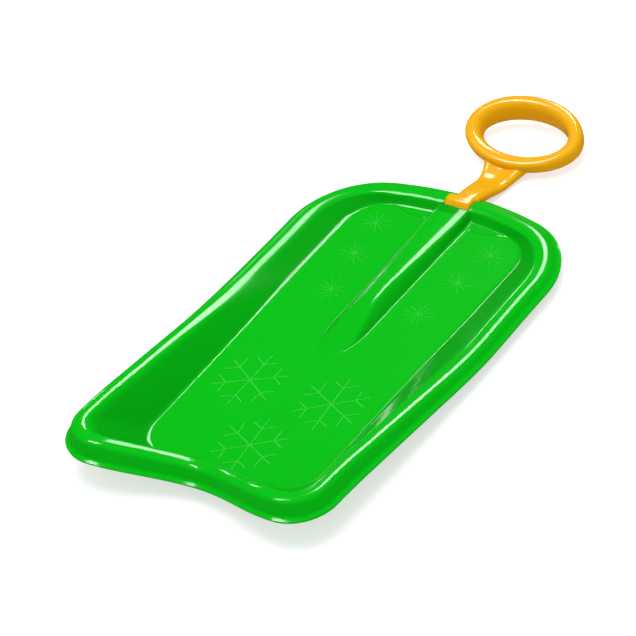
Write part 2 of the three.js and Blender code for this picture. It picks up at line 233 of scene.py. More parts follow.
# Studio: the world's strength, on the sled and in its gloss, the floor, and how far the lamps are
WORLD_LIGHT = 0.55
WORLD_IN_GLOSS = 0.1
FLOOR_GREY = (0.7, 0.7, 0.7, 1)
FLOOR_GLOW = 0.6
FLOOR_SIDE = 60000.0
LAMP_DISTANCE = 6.0

# Places that follow from the sizes; TRAY_SHIFT is from the tray's own frame to the CAD frame
FLOOR_TOP = RUNNER_HEIGHT + WALL
POCKET_REAR = TRAY_FRONT - RIM_BAND - WALL
HINGE_Y = POCKET_REAR + HINGE_GAP + KNUCKLE_RADIUS
HINGE_Z = FLOOR_TOP + HINGE_HEIGHT
RING_Y = HINGE_Y + RING_REACH
RING_Z = FLOOR_TOP + RING_HEIGHT
RIDGE_START = RIDGE_ROUND / 2 - RIDGE_NOSE
TRAY_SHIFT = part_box("sled_shell")[0].y / MM + TRAY_REAR

# Counts in a rounded path: the points of one rounding, and the place of the first one's middle.
# In a station of the rim, the wall and the crest's two halves are divided into parts.
ROUND_POINTS = FILLET_STEPS + 1
ROUND_MIDDLE = FILLET_STEPS // 2 + 1
STATION_PARTS = {ROUND_POINTS: WALL_PARTS, 2 * ROUND_POINTS: CREST_PARTS,
                 3 * ROUND_POINTS: CREST_PARTS}
WALL_START = ROUND_MIDDLE
WALL_END = ROUND_POINTS + WALL_PARTS + FILLET_STEPS // 2
POCKET_ROW = ROUND_POINTS + WALL_PARTS


def mix(a, b, share):
    return a + (b - a) * share


def smooth_step(u):
    return u * u * (3 - 2 * u)


def smooth_max(a, b, width):
    share = max(0.0, 1 - abs(a - b) / width)
    return max(a, b) + width * share ** 2 / 4


def soft_ramp(u, blend):
    """A ramp from 0 to 1 whose two ends are rounded into the level stretches."""
    def rise(v):
        return np.where(v < -blend, 0.0, np.where(v > blend, v, (v + blend) ** 2 / (4 * blend)))
    return rise(u) - rise(u - 1)


def rounded_path(corners, steps, least=0.0):
    """A run of straight lines with its inner corners rounded; a corner is (across, up, radius).

    Each rounding reaches at least that far along its two lines, however blunt its corner is.
    """
    path = [np.array(corners[0][:2], float)]
    for i in range(1, len(corners) - 1):
        here = np.array(corners[i][:2], float)
        before = np.array(corners[i - 1][:2], float) - here
        after = np.array(corners[i + 1][:2], float) - here
        long_before, long_after = np.linalg.norm(before), np.linalg.norm(after)
        cosine = np.dot(before, after) / (long_before * long_after)
        half = math.acos(max(-1.0, min(1.0, cosine))) / 2
        reach = max(corners[i][2] / math.tan(half), least)
        reach = min(reach, long_before * MOST_ROUNDED, long_after * MOST_ROUNDED)
        start = here + before / long_before * reach
        end = here + after / long_after * reach
        middle = (start + end) / 2 - here
        if np.linalg.norm(middle) < TINY:
            path.extend(mix(start, end, k / steps) for k in range(steps + 1))
            continue
        centre = here + middle / np.linalg.norm(middle) * (reach / math.cos(half))
        radius = reach * math.tan(half)
        turn = math.atan2(*(start - centre)[::-1])
        sweep = math.atan2(*(end - centre)[::-1]) - turn
        sweep = (sweep + math.pi) % (2 * math.pi) - math.pi
        for k in range(steps + 1):
            angle = turn + sweep * k / steps
            path.append(centre + radius * np.array([math.cos(angle), math.sin(angle)]))
    path.append(np.array(corners[-1][:2], float))
    return path


# Meshes


def mesh_piece(name, points, faces):
    """A mesh object from points in millimetres in the tray's own frame."""
    mesh = bpy.data.meshes.new(name)
    placed = (np.asarray(points, float) + np.array([0.0, TRAY_SHIFT, 0.0])) * MM
    mesh.from_pydata(placed.tolist(), [], faces)
    mesh.update()
    piece = bpy.data.objects.new(name, mesh)
    bpy.context.scene.collection.objects.link(piece)
    return piece


def rework(piece, change):
    """Runs a change on a piece's mesh as a bmesh."""
    work = bmesh.new()
    work.from_mesh(piece.data)
    change(work)
    work.to_mesh(piece.data)
    work.free()
    return piece


def turn_outwards(work):
    bmesh.ops.recalc_face_normals(work, faces=work.faces)


def drop_loose_points(work):
    bmesh.ops.delete(work, geom=[v for v in work.verts if not v.link_faces], context="VERTS")


def bake_modifiers(piece):
    """Turns a piece with modifiers into a plain mesh."""
    graph = bpy.context.evaluated_depsgraph_get()
    mesh = bpy.data.meshes.new_from_object(piece.evaluated_get(graph))
    piece.modifiers.clear()
    old = piece.data
    piece.data = mesh
    bpy.data.meshes.remove(old)
    return piece


def combine(piece, other, operation):
    """Joins another closed piece to this one, or cuts it away, and removes the other."""
    modifier = piece.modifiers.new("combine", "BOOLEAN")
    modifier.operation = operation
    modifier.solver = "MANIFOLD"
    modifier.object = other
    bake_modifiers(piece)
    bpy.data.objects.remove(other)
    return piece


def shade(piece):
    """Smooth shading, with the sharper edges kept sharp."""
    mesh = piece.data
    mesh.polygons.foreach_set("use_smooth", [True] * len(mesh.polygons))
    mesh.set_sharp_from_angle(angle=SHARP_TURN)
    mesh.update()
    return piece


def loft(name, rings, closed=False):
    """A closed piece through rings of equal point counts; closed runs round to its start."""
    count = len(rings[0])
    points = np.concatenate([np.asarray(ring, float) for ring in rings])
    faces = []
    spans = len(rings) if closed else len(rings) - 1
    for i in range(spans):
        a, b = i * count, ((i + 1) % len(rings)) * count
        for j in range(count):
            k = (j + 1) % count
            faces.append((a + j, b + j, b + k, a + k))
    if not closed:
        end = (len(rings) - 1) * count
        faces.append(tuple(range(count)))
        faces.append(tuple(range(end + count - 1, end - 1, -1)))
    return rework(mesh_piece(name, points, faces), turn_outwards)


# The tray's three outlines, and the heights of its rim


def outline(half_width, front, rear, dip, front_corner, rear_corner, front_bow, taper):
    """The sizes of one closed outline, with those that follow from them."""
    corner_x = half_width - taper - front_corner
    bow_y = front - front_bow
    corner_y = bow_y + math.sqrt((front_bow - front_corner) ** 2 - corner_x ** 2)
    end_turn = math.atan2(corner_y - bow_y, corner_x)
    return {
        "half_width": half_width, "rear": rear, "dip": dip, "rear_corner": rear_corner,
        "rear_run": half_width - rear_corner, "front_corner": front_corner, "front_bow": front_bow,
        "corner_x": corner_x, "corner_y": corner_y, "bow_y": bow_y, "end_turn": end_turn,
        "front_end_x": front_bow * math.cos(end_turn), "taper": taper,
    }


LIP = outline(TRAY_HALF_WIDTH, TRAY_FRONT, TRAY_REAR, REAR_DIP,
              LIP_FRONT_CORNER, LIP_REAR_CORNER, LIP_FRONT_BOW, RIM_TAPER)
CREST = outline(TRAY_HALF_WIDTH - RIM_BAND, TRAY_FRONT - RIM_BAND, TRAY_REAR - RIM_BAND, REAR_DIP,
                LIP_FRONT_CORNER - RIM_BAND, LIP_REAR_CORNER - RIM_BAND, LIP_FRONT_BOW - RIM_BAND,
                RIM_TAPER)
FLOOR = outline(FLOOR_HALF_WIDTH, FLOOR_FRONT, FLOOR_REAR, 0.0,
                FLOOR_FRONT_CORNER, FLOOR_REAR_CORNER, FLOOR_FRONT_BOW, 0.0)


def rear_point(line, share):
    back = line["rear"] - line["dip"] * (1 + math.cos(math.pi * share)) / 2
    return np.array([line["rear_run"] * share, -back])


def rear_corner_point(line, share):
    turn = math.pi / 2 * share
    return np.array([line["rear_run"] + line["rear_corner"] * math.sin(turn),
                     -line["rear"] + line["rear_corner"] * (1 - math.cos(turn))])


def side_point(line, share):
    y = mix(-line["rear"] + line["rear_corner"], line["corner_y"], share)
    u = min(max((y - TAPER_START) / (line["corner_y"] - TAPER_START), 0.0), 1.0)
    return np.array([line["half_width"] - line["taper"] * smooth_step(u), y])


def front_corner_point(line, share):
    turn = line["end_turn"] * share
    return np.array([line["corner_x"] + line["front_corner"] * math.cos(turn),
                     line["corner_y"] + line["front_corner"] * math.sin(turn)])


def front_point(line, floor_x):
    """The point of a bowed front edge that goes with the floor's edge at floor_x.

    Near the pocket it lies straight ahead of it, and towards the corner it moves outwards.
    """
    share = max(0.0, (floor_x - RIDGE_HALF_FOOT) / (FLOOR["front_end_x"] - RIDGE_HALF_FOOT))
    x = floor_x + (line["front_end_x"] - FLOOR["front_end_x"]) * share ** 2
    return np.array([x, line["bow_y"] + math.sqrt(line["front_bow"] ** 2 - x ** 2)])


def rim_heights(crest_y, rear_share=None):
    """Crest and lip heights above the floor's top at one station of the rim."""
    share = float(soft_ramp((RISE_START - crest_y) / RISE_LENGTH, RISE_BLEND))
    crest = mix(CREST_HEIGHT, EAR_HEIGHT, share)
    lip = mix(LIP_LOW, LIP_EAR, share)
    if rear_share is not None:
        towards_ear = (1 - math.cos(math.pi * rear_share)) / 2
        crest = mix(REAR_HEIGHT, crest, towards_ear)
        lip = mix(LIP_REAR_HEIGHT, lip, towards_ear)
    return crest, lip


# The ridge's section at one place along the tray


def ridge_path(y):
    """Across and up, from the middle of the ridge's top to beyond its foot."""
    y = max(y, RIDGE_START)
    nose_share = min(max((y + RIDGE_NOSE) / RIDGE_NOSE_LENGTH, 0.0), 1.0)
    rise_share = min(max((y + RIDGE_NOSE) / (RIDGE_FULL + RIDGE_NOSE), 0.0), 1.0)
    foot = RIDGE_HALF_FOOT * math.sqrt(1 - (1 - nose_share) ** 2)
    height = RIDGE_HEIGHT * math.sin(rise_share * math.pi / 2) ** RIDGE_RISE_POWER
    full_top = RIDGE_HALF_TOP - (POCKET_REAR - y) * RIDGE_TOP_SLOPE
    top = max(min(full_top, foot - height / RIDGE_ROUND), foot - height * RIDGE_SIDE_RUN)
    top = min(top, foot - RIDGE_LEAST_SIDE)
    corners = [(0, height, 0), (top, height, RIDGE_ROUND), (foot, 0, RIDGE_FOOT_ROUND),
               (foot + RIDGE_FOOT_APRON, 0, 0)]
    return np.array(rounded_path(corners, FILLET_STEPS, RIDGE_BLEND))


def ridge_height(across, y):
    """How high the ridge stands above the floor at a point, crowned towards its top's edges."""
    if y < RIDGE_START:
        return 0.0
    path = ridge_path(y)
    height = float(np.interp(abs(across), path[:, 0], path[:, 1], right=0.0))
    top = path[ROUND_MIDDLE, 0]
    past_flat = max(min(abs(across), top) - RIDGE_DOME_START * top / RIDGE_HALF_TOP, 0.0)
    dome = past_flat ** 2 / (2 * RIDGE_DOME_RADIUS * top / RIDGE_HALF_TOP)
    height *= 1 - dome / max(path[0, 1], RIDGE_DOME_LEAST)
    past = (y - POCKET_REAR) / RIDGE_ROUND
    return height if past < 0 else height * max(0.0, 1 - past ** 2) ** 0.5


# Places across the ridge's flat top, as shares of its half width; some lie at the pocket's edge
INNER_SHARES = [0, 0.2, 0.4, 0.58, 0.72, 0.82]
POCKET_COLUMN = len(INNER_SHARES)
POCKET_EDGE = [POCKET_HALF_WIDTH + POCKET_ROUND * share for share in (0, 0.1, 0.28, 0.55, 1)]
FLAT_FRONT = ridge_path(POCKET_REAR)[1, 0]
FLAT_SHARES = INNER_SHARES + [x / FLAT_FRONT for x in POCKET_EDGE] + [1]


def ridge_columns(y, edge):
    """Places across the floor, from the middle to its edge, that follow the ridge's section."""
    path = ridge_path(y)[:, 0]
    side_start, side_end, floor_start = path[ROUND_POINTS], path[ROUND_POINTS + 1], path[-2]
    columns = [path[1] * share for share in FLAT_SHARES]
    columns.extend(path[2:ROUND_POINTS + 1])
    columns.extend(mix(side_start, side_end, k / SIDE_COLUMNS) for k in range(1, SIDE_COLUMNS + 1))
    columns.extend(path[ROUND_POINTS + 2:-1])
    columns.extend(mix(floor_start, edge, k / FLOOR_COLUMNS) for k in range(1, FLOOR_COLUMNS + 1))
    return np.array(columns)


# The rim's sections, called stations, and the sheet through them


def rim_path(wall_run, crest, lip):
    """The rim's top face in section: across from the wall's foot, and up from the floor's top."""
    foot_turn = math.atan2(crest - CREST_FALL, wall_run)
    inner_turn = foot_turn - math.atan2(CREST_FALL, CREST_TOP / 2)
    return np.array(rounded_path([
        (-FLOOR_INSET, 0, 0),
        (0, 0, FOOT_REACH / math.tan(foot_turn / 2)),
        (wall_run, crest - CREST_FALL, CREST_INNER_REACH / math.tan(inner_turn / 2)),
        (wall_run + CREST_TOP / 2, crest, CROWN_RADIUS),
        (wall_run + CREST_TOP, crest - CREST_FALL, CREST_OUTER_RADIUS),
        (wall_run + CREST_TOP + SKIRT_RUN, lip + LIP_DROP, LIP_RADIUS),
        (wall_run + RIM_BAND, lip, 0),
    ], FILLET_STEPS))


def subdivide(path, spans):
    """Divides some of a path's straight spans; spans maps a span to its number of parts."""
    points = []
    for i in range(len(path) - 1):
        parts = spans.get(i, 1)
        points.extend(mix(path[i], path[i + 1], k / parts) for k in range(parts))
    points.append(path[-1])
    return np.array(points)


def pocket_drop(across):
    """How far the tray's top is rounded down beside the pocket."""
    inward = POCKET_ROUND - (abs(across) - POCKET_HALF_WIDTH)
    if inward <= 0:
        return 0.0
    return POCKET_ROUND - math.sqrt(max(POCKET_ROUND ** 2 - min(inward, POCKET_ROUND) ** 2, 0.0))


def station(foot, crest_point, lip_point, heights, at_front):
    """One section of the rim as points: from the floor's inset edge out to the lip."""
    wall_run = float(np.linalg.norm(crest_point - foot))
    points = []
    for across, up in subdivide(rim_path(wall_run, *heights), STATION_PARTS):
        if across <= wall_run:
            x, y = mix(foot, crest_point, across / wall_run)
        else:
            x, y = mix(crest_point, lip_point, (across - wall_run) / RIM_BAND)
        points.append([x, y, up])
    if at_front:
        in_pocket = abs(foot[0]) < POCKET_HALF_WIDTH + TINY
        start = points[0][1]
        for k, point in enumerate(points):
            if in_pocket and k <= POCKET_ROW:
                point[1] = mix(start, POCKET_REAR, k / POCKET_ROW)
                point[2] = ridge_height(point[0], min(point[1], POCKET_REAR - TINY))
            else:
                point[2] = smooth_max(point[2], ridge_height(point[0], point[1]), RIDGE_BLEND)
            if k >= POCKET_ROW:
                point[2] -= pocket_drop(point[0])
    return np.array(points)


def tray_stations():
    """The stations of the right half: along the rear edge, up the side, and along the front."""
    rear = []
    for x in ridge_columns(-FLOOR_REAR, FLOOR["rear_run"]):
        share = x / FLOOR["rear_run"]
        crest_point = rear_point(CREST, share)
        rear.append(station(rear_point(FLOOR, share), crest_point, rear_point(LIP, share),
                            rim_heights(crest_point[1], share), False))
    side = []
    for place, rows in ((rear_corner_point, REAR_CORNER_ROWS), (side_point, SIDE_ROWS),
                        (front_corner_point, FRONT_CORNER_ROWS)):
        for k in range(rows):
            share = k / rows
            crest_point = place(CREST, share)
            side.append(station(place(FLOOR, share), crest_point, place(LIP, share),
                                rim_heights(crest_point[1]), False))
    front = []
    for x in ridge_columns(POCKET_REAR, FLOOR["front_end_x"]):
        crest_point = front_point(CREST, x)
        front.append(station(front_point(FLOOR, x), crest_point, front_point(LIP, x),
                             rim_heights(crest_point[1]), True))
    return rear, side[1:], front


def mirrored(points):
    return points * np.array([-1.0, 1.0, 1.0])


def both_halves(stations):
    """The stations of a whole edge, from its left end to its right, given those right of it."""
    return [mirrored(s) for s in stations[:0:-1]] + stations


def floor_rows(rear, side, front):
    """The floor's points in rows across the tray, from its rear edge to its front edge."""
    rear_y, front_y = rear[0][0][1], front[0][0][1]
    corner_start = len(side) - FRONT_CORNER_ROWS
    rows = [np.array([s[0] for s in both_halves(rear)])]
    for k, (edge_x, edge_y, _) in enumerate(s[0] for s in side):
        middle_y = edge_y
        if k < REAR_CORNER_ROWS:
            share = (k + 1) / (REAR_CORNER_ROWS + 1)
            middle_y = mix(rear_y, side[REAR_CORNER_ROWS][0][1], share)
        if k >= corner_start:
            share = (k - corner_start) / FRONT_CORNER_ROWS
            middle_y = mix(side[corner_start][0][1], front_y, share)
        across = ridge_columns(middle_y, edge_x)
        along = middle_y + (edge_y - middle_y) * (across / edge_x) ** 3
        up = [ridge_height(x, y) for x, y in zip(across, along)]
        right = np.column_stack([across, along, up])
        rows.append(np.concatenate([mirrored(right[:0:-1]), right]))
    rows.append(np.array([s[0] for s in both_halves(front)]))
    return rows


def pocket_walls(points, faces, brim):
    """Turns walls down from the pocket's brim, a run of point numbers, to the floor's underside."""
    above = brim
    for k in range(1, POCKET_WALL_STEPS + 1):
        below = list(range(len(points), len(points) + len(brim)))
        for x, y, z in [points[top] for top in brim]:
            points.append(np.array([x, y, mix(z, -WALL, k / POCKET_WALL_STEPS)]))
        for j in range(len(brim) - 1):
            faces.append((above[j], above[j + 1], below[j + 1], below[j]))
        above = below


def tray_sheet(rear, side, front):
    """The tray's top face as one sheet: points and faces, with the pocket's walls turned down."""
    rows = floor_rows(rear, side, front)
    full = len(rows[0])
    last = (len(rows) - 1) * full
    points = [p for row in rows for p in row]
    faces = [(a, a + 1, a + full + 1, a + full)
             for r in range(len(rows) - 1) for a in range(r * full, (r + 1) * full - 1)]

    # All stations once round the floor, each with the number of the floor's point that it starts
    # from; those at the front have their place too, counted from the middle
    ring = [(c, s, None) for c, s in enumerate(both_halves(rear))]
    ring += [((k + 2) * full - 1, s, None) for k, s in enumerate(side)]
    ring += [(last + c, s, c - full // 2) for c, s in enumerate(both_halves(front))][::-1]
    ring += [((k + 1) * full, mirrored(s), None) for k, s in enumerate(side)][::-1]
    columns = []
    for start, section, place in ring:
        column = [start]
        for p in section[1:]:
            column.append(len(points))
            points.append(p)
        columns.append((column, place))

    depth = len(rear[0])
    for i, (column, place) in enumerate(columns):
        following, next_place = columns[(i + 1) % len(columns)]
        over_pocket = (place is not None and next_place is not None
                       and max(abs(place), abs(next_place)) <= POCKET_COLUMN)
        for r in range(POCKET_ROW if over_pocket else depth - 1):
            faces.append((column[r], column[r + 1], following[r + 1], following[r]))

    by_place = {place: column for column, place in columns if place is not None}
    brim = by_place[-POCKET_COLUMN][:POCKET_ROW:-1]
    brim += [by_place[c][POCKET_ROW] for c in range(-POCKET_COLUMN, POCKET_COLUMN + 1)]
    brim += by_place[POCKET_COLUMN][POCKET_ROW + 1:]
    pocket_walls(points, faces, brim)
    return np.array(points) + np.array([0.0, 0.0, FLOOR_TOP]), faces


# The tray


def runner(side):
    """One runner under the floor: a straight fin whose ends rise like a ski."""
    ramp = RUNNER_RAMP / (RUNNER_FRONT + RUNNER_REAR)
    shares = [ramp * k / RUNNER_RAMP_STEPS for k in range(RUNNER_RAMP_STEPS + 1)]
    shares += [1 - share for share in reversed(shares)]
    rings = []
    for share in shares:
        along = min(share, 1 - share) / ramp
        depth = math.sin(min(along, 1.0) * math.pi / 2)
        y = mix(-RUNNER_REAR, RUNNER_FRONT, share)
        bottom = FLOOR_TOP - WALL - RUNNER_HEIGHT * depth
        top = FLOOR_TOP - WALL / 2
        wide = RUNNER_WIDTH / 2
        narrow = mix(RUNNER_WIDTH, RUNNER_FOOT, depth) / 2
        corner = RUNNER_CORNER * depth + RUNNER_LEAST_CORNER
        section = rounded_path([(wide, top, 0), (narrow, bottom, corner),
                                (-narrow, bottom, corner), (-wide, top, 0)], FILLET_STEPS)
        rings.append([(side * RUNNER_PLACE + x, y, z) for x, z in section])
    return loft("runner", rings)


def wall_depth(points, stations):
    """How much painted shade each point gets: up to 1 on the walls and the ridge's sides, else 0.
    """
    foot = np.array([s[WALL_START][:2] for s in stations])
    crest = np.array([s[WALL_END][:2] for s in stations])
    rise = np.array([s[WALL_END][2] for s in stations])
    run = np.linalg.norm(crest - foot, axis=1)
    along = (crest - foot) / run[:, None]
    steep = 1 - np.cos(np.arctan2(rise, run))
    place = np.column_stack([np.abs(points[:, 0]), points[:, 1]])
    # depth holds each point's painted shade, which darkens the green on the walls
    depth = np.zeros(len(points))
    for start in range(0, len(points), PAINTED_SHADE_BATCH):
        part = place[start:start + PAINTED_SHADE_BATCH]
        share = np.einsum("pij,ij->pi", part[:, None] - foot[None], along) / run
        near = foot[None] + along[None] * (np.clip(share, 0, 1) * run)[..., None]
        pick = np.argmin(np.linalg.norm(part[:, None] - near, axis=2), axis=1)
        at = share[np.arange(len(part)), pick]
        up = np.clip((at - PAINTED_SHADE_FOOT[0]) / (PAINTED_SHADE_FOOT[1] - PAINTED_SHADE_FOOT[0]), 0, 1)
        down = np.clip((PAINTED_SHADE_CREST[1] - at) / (PAINTED_SHADE_CREST[1] - PAINTED_SHADE_CREST[0]), 0, 1)
        soft = smooth_step(up) * smooth_step(down)
        depth[start:start + PAINTED_SHADE_BATCH] = soft * (1 - PAINTED_SHADE_STEEP_CUT * steep[pick])
    for k, (x, y) in enumerate(place):
        if -RIDGE_NOSE < y < POCKET_REAR and x < RIDGE_HALF_FOOT + RIDGE_FOOT_APRON:
            path = ridge_path(y)
            top, foot_x = path[ROUND_MIDDLE, 0], path[-1, 0] - RIDGE_FOOT_APRON
            u = min(max((x - top) / max(foot_x - top, RIDGE_LEAST_SIDE), 0.0), 1.0)
            share_of_height = min(path[0, 1] / RIDGE_HEIGHT * 2, 1.0)
            if x < foot_x:
                depth[k] = max(depth[k], u * (2 - u) * share_of_height)
    return depth


def point_vectors(mesh, name):
    values = np.empty(len(mesh.vertices) * 3)
    mesh.vertices.foreach_get(name, values)
    return values.reshape(-1, 3)


def paint_wall_shade(piece, stations):
    """Stores the painted wall shade as an attribute that the plastic's material reads to darken the
    walls.
    """
    mesh = piece.data
    points = point_vectors(mesh, "co") / MM - np.array([0.0, TRAY_SHIFT, 0.0])
    facing_up = point_vectors(mesh, "normal")[:, 2] > 0
    values = wall_depth(points, stations) * facing_up
    mesh.attributes.new("wall_depth", "FLOAT", "POINT").data.foreach_set("value", values)
    return piece


def tray_shell():
    rear, side, front = tray_stations()
    piece = mesh_piece("tray_shell", *tray_sheet(rear, side, front))
    rework(piece, drop_loose_points)
    solidify = piece.modifiers.new("wall", "SOLIDIFY")
    solidify.thickness = WALL * MM
    solidify.offset = -1.0
    bake_modifiers(piece)
    for way in (1, -1):
        combine(piece, runner(way), "UNION")
    # The walls and the ridge's sides are painted darker, as shade, through a mesh attribute
    return paint_wall_shade(shade(piece), rear + side + front)


# The handle


def oblong(half_across, half_up, steps, dish=0.0):
    """A rounded oblong section; dish hollows the middle of its upper side."""
    ring = []
    for i in range(steps):
        turn = 2 * math.pi * i / steps
        c, s = math.cos(turn), math.sin(turn)
        across = math.copysign(abs(c) ** SECTION_SHARE, c) * half_across
        up = math.copysign(abs(s) ** SECTION_SHARE, s) * half_up
        if s > 0:
            up -= dish * (1 - (across / half_across) ** 2) * s
        ring.append((across, up))
    return ring


def handle_ring():
    """The oval ring, its section upright to the ring's own plane."""
    rings = []
    for i in range(RING_STEPS):
        turn = 2 * math.pi * i / RING_STEPS
        out_x, out_y = math.cos(turn) / RING_HALF_WIDTH, math.sin(turn) / RING_HALF_LENGTH
        size = math.hypot(out_x, out_y)
        ring = []
        axial_half = RING_AXIAL_HALF * (1 + RING_GROW * math.sin(turn))
        for straight, up in oblong(RING_RADIAL_HALF, axial_half, RING_SECTION_STEPS):
            across = straight + RING_LEAN * up / axial_half
            x = RING_HALF_WIDTH * math.cos(turn) + across * out_x / size
            along = RING_HALF_LENGTH * math.sin(turn) + across * out_y / size
            ring.append((x,
                         RING_Y + along * math.cos(RING_PITCH) - up * math.sin(RING_PITCH),
                         RING_Z + along * math.sin(RING_PITCH) + up * math.cos(RING_PITCH)))
        rings.append(ring)
    return loft("ring", rings, closed=True)


def along_stem(values, share):
    """A value between those given at the stem's places, without kinks."""
    slopes = np.gradient(np.array(values, float), np.array(STEM_PLACES, float))
    i = min(int(np.searchsorted(STEM_PLACES, share, side="right")) - 1, len(values) - 2)
    span = STEM_PLACES[i + 1] - STEM_PLACES[i]
    t = (share - STEM_PLACES[i]) / span
    back = 1 - t
    return (values[i] * back ** 2 * (1 + 2 * t) + values[i + 1] * t ** 2 * (1 + 2 * back)
            + span * (slopes[i] * t * back ** 2 - slopes[i + 1] * t ** 2 * back))


def handle_stem():
    """The stem, from inside the knuckle to inside the near side of the ring."""
    end_y = RING_Y - RING_HALF_LENGTH * math.cos(RING_PITCH)
    rings = []
    for i in range(STEM_STEPS + 1):
        share = i / STEM_STEPS
        y = mix(HINGE_Y, end_y, share)
        z = HINGE_Z - along_stem(STEM_DROPS, share)
        section = oblong(along_stem(STEM_HALF_WIDTHS, share), along_stem(STEM_HALF_THICKS, share),
                         STEM_SECTION_STEPS, along_stem(STEM_DISHES, share))
        rings.append([(across, y, z + up) for across, up in section])
    return loft("stem", rings)


def cross_bar(name, radius, half_length, edge_round=0.0, flats=0):
    """A bar across the tray at the hinge, round or with flats, and with rounded rims if asked."""
    quarter = [math.pi / 2 * k / KNUCKLE_ROUND_STEPS for k in range(KNUCKLE_ROUND_STEPS + 1)]
    rim = [(radius - edge_round * (1 - math.sin(t)), half_length - edge_round * (1 - math.cos(t)))
           for t in quarter] if edge_round else [(radius, half_length)]
    profile = [(r, -x) for r, x in rim] + [(r, x) for r, x in reversed(rim)]
    turns = [2 * math.pi * k / KNUCKLE_STEPS for k in range(KNUCKLE_STEPS)]
    shares = [1.0] * KNUCKLE_STEPS
    if flats:
        wide = 2 * math.pi / flats
        shares = [min(1.0, KNUCKLE_FLAT_SHARE / math.cos((t + wide / 2) % wide - wide / 2))
                  for t in turns]
    return loft(name, [[(x, HINGE_Y + r * share * math.cos(t), HINGE_Z + r * share * math.sin(t))
                        for t, share in zip(turns, shares)] for r, x in profile])


def pull_handle():
    piece = handle_ring()
    piece.name = "handle_grip"
    combine(piece, handle_stem(), "UNION")
    remesh = piece.modifiers.new("even_mesh", "REMESH")
    remesh.mode = "VOXEL"
    remesh.voxel_size = HANDLE_VOXEL * MM
    smooth = piece.modifiers.new("melt_joints", "SMOOTH")
    smooth.factor = 0.5
    smooth.iterations = HANDLE_SMOOTHING
    bake_modifiers(piece)
    knuckle = cross_bar("knuckle", KNUCKLE_RADIUS, KNUCKLE_HALF_WIDTH, KNUCKLE_ROUND, KNUCKLE_FLATS)
    combine(piece, knuckle, "UNION")
    combine(piece, cross_bar("bore", PIN_RADIUS + PIN_GAP, 2 * KNUCKLE_HALF_WIDTH), "DIFFERENCE")
    return shade(piece)


# Nodes and finishes


def feed(target, inputs):
    """Sets a node's inputs; one given another node's output is linked to it."""
    for name, value in inputs.items():
        if isinstance(value, bpy.types.NodeSocket):
            target.id_data.links.new(value, target.inputs[name])
        else:
            target.inputs[name].default_value = value


def node(tree, kind, inputs=None, **settings):
    """A new node with its settings, then its inputs as feed takes them."""
    made = tree.nodes.new(kind)
    for name, value in settings.items():
        setattr(made, name, value)
    feed(made, inputs or {})
    return made


def spread(tree, share, low, high):
    """A value that goes from low to high as share goes from 0 to 1."""
    inputs = {"Value": share, "To Min": low, "To Max": high}
    return node(tree, "ShaderNodeMapRange", inputs).outputs["Result"]


def new_finish(name):
    """A new material: itself, its tree, its shader and the object's own coordinates."""
    material = bpy.data.materials.new(name)
    material.use_nodes = True
    tree = material.node_tree
    place = node(tree, "ShaderNodeTexCoord").outputs["Object"]
    return material, tree, tree.nodes["Principled BSDF"], place


def moulded_plastic(name, colour, roughness, specular, drift, painted_shade_strength=0.0):
    """A glossy moulded plastic: its colour and gloss drift faintly, over a fine moulded grain.

    The last argument is how much darker the colour is painted, as shade, where the walls' attribute
    is 1.
    """
    material, tree, shader, place = new_finish(name)
    cloud = node(tree, "ShaderNodeTexNoise", {"Vector": place, "Scale": DRIFT_SCALE,
                                              "Detail": DRIFT_DETAIL})
    share = cloud.outputs["Fac"]
    tint = node(tree, "ShaderNodeMix", {
        "Factor": share, "A": (*colour, 1), "B": (*(c * (1 - drift) for c in colour), 1),
    }, data_type="RGBA")
    # Painted shade: the colour is darkened where the mesh's attribute marks a wall
    wall = node(tree, "ShaderNodeAttribute", attribute_name="wall_depth")
    darker = spread(tree, wall.outputs["Fac"], 1.0, 1.0 - painted_shade_strength)
    shaded = node(tree, "ShaderNodeVectorMath", {0: tint.outputs["Result"], "Scale": darker},
                  operation="SCALE")
    grain = node(tree, "ShaderNodeTexNoise", {"Vector": place, "Scale": GRAIN_SCALE,
                                              "Detail": GRAIN_DETAIL})
    bump = node(tree, "ShaderNodeBump", {"Height": grain.outputs["Fac"],
                                         "Strength": GRAIN_STRENGTH, "Distance": GRAIN_HEIGHT})
    feed(shader, {"Base Color": shaded.outputs["Vector"],
                  "Roughness": spread(tree, share, *(roughness * x for x in DRIFT_IN_GLOSS)),
                  "Specular IOR Level": specular,
                  "Normal": bump.outputs["Normal"]})
    return material


def pin_metal():
    """Zinc-plated steel, whose gloss varies in fine specks."""
    material, tree, shader, place = new_finish("zinc_plated_steel")
    specks = node(tree, "ShaderNodeTexNoise", {"Vector": place, "Scale": STEEL_SPECK_SCALE})
    feed(shader, {"Base Color": STEEL_COLOUR, "Metallic": 1.0,
                  "Roughness": spread(tree, specks.outputs["Fac"], *STEEL_ROUGHNESS)})
    return material


def finish_piece(piece, material, body, slot, *replaced):
    """Gives a piece its finish and body, and hides the CAD nodes it stands for."""
    piece.data.materials.clear()
    piece.data.materials.append(material)
    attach(piece, body)
    if replaced:
        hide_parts(*replaced)


# Snowflakes: thin raised lines on the floor, in Geometry Nodes


